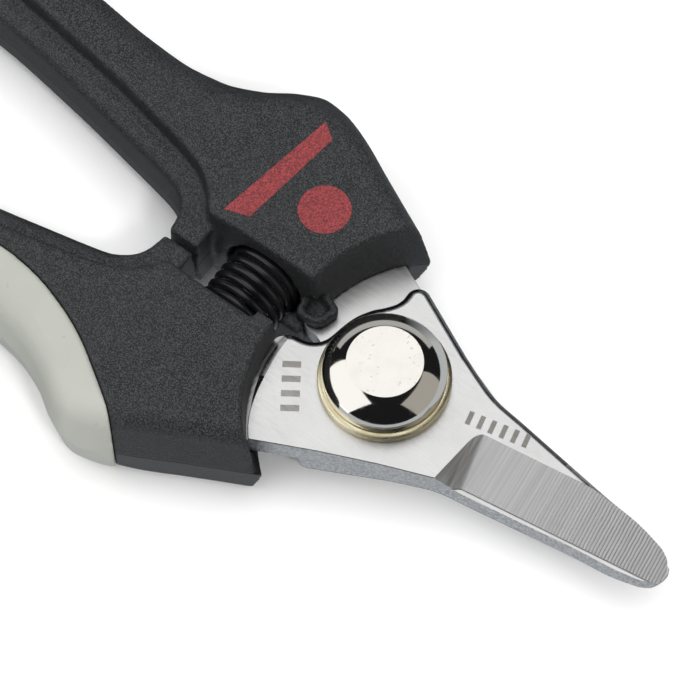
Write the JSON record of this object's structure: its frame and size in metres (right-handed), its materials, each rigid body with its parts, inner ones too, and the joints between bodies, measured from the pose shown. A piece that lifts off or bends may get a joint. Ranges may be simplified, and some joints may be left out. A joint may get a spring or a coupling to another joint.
{
  "type": "floral snips",
  "caption": "Hand snips with short stainless blades on a domed pivot, moulded handles with a soft grip, an opening spring and a wire latch.",
  "frame": {"origin": "on the pivot axis, at the flat end of the pivot bolt, in the plane that the handles' backs rest on", "axes": "+X runs from the pivot to the blade tips, +Y to the upper handle, +Z from the back to the domed head"},
  "size_m": [0.18, 0.0484, 0.0153],
  "materials": {
    "black_nylon": "fine-grained matt",
    "grey_rubber": "smooth, slightly shiny",
    "blade_steel": "ground",
    "nickel_plate": "polished",
    "brass": "polished",
    "black_spring_steel": "glossy black",
    "white_nylon": "plain"
  },
  "bodies": {
    "upper_half": {"upper_handle": "black_nylon", "far_blade": "blade_steel", "pivot_bolt": "nickel_plate", "pivot_nut": "nickel_plate", "nut_lock_ring": "white_nylon", "front_washer": "brass", "back_washer": "brass", "coil_spring": "black_spring_steel"},
    "lower_half": {"lower_handle": "black_nylon", "lower_grip": "grey_rubber", "near_blade": "blade_steel"},
    "latch": {"latch_bail": "nickel_plate"}
  },
  "joints": [
    {"name": "pivot", "type": "hinge", "parent": "upper_half", "child": "lower_half", "pos_m": [0, 0, 0.0072], "axis": [0, 0, 1], "range_deg": [0, 28], "stiffness_Nm_per_rad": 0.86, "springref_deg": 34.38, "deforming": ["coil_spring"]},
    {"name": "latch_swing", "type": "hinge", "parent": "upper_half", "child": "latch", "pos_m": [-0.1365, 0.0066, 0.0072], "axis": [0, 0, 1], "range_deg": [0, 232]}
  ]
}
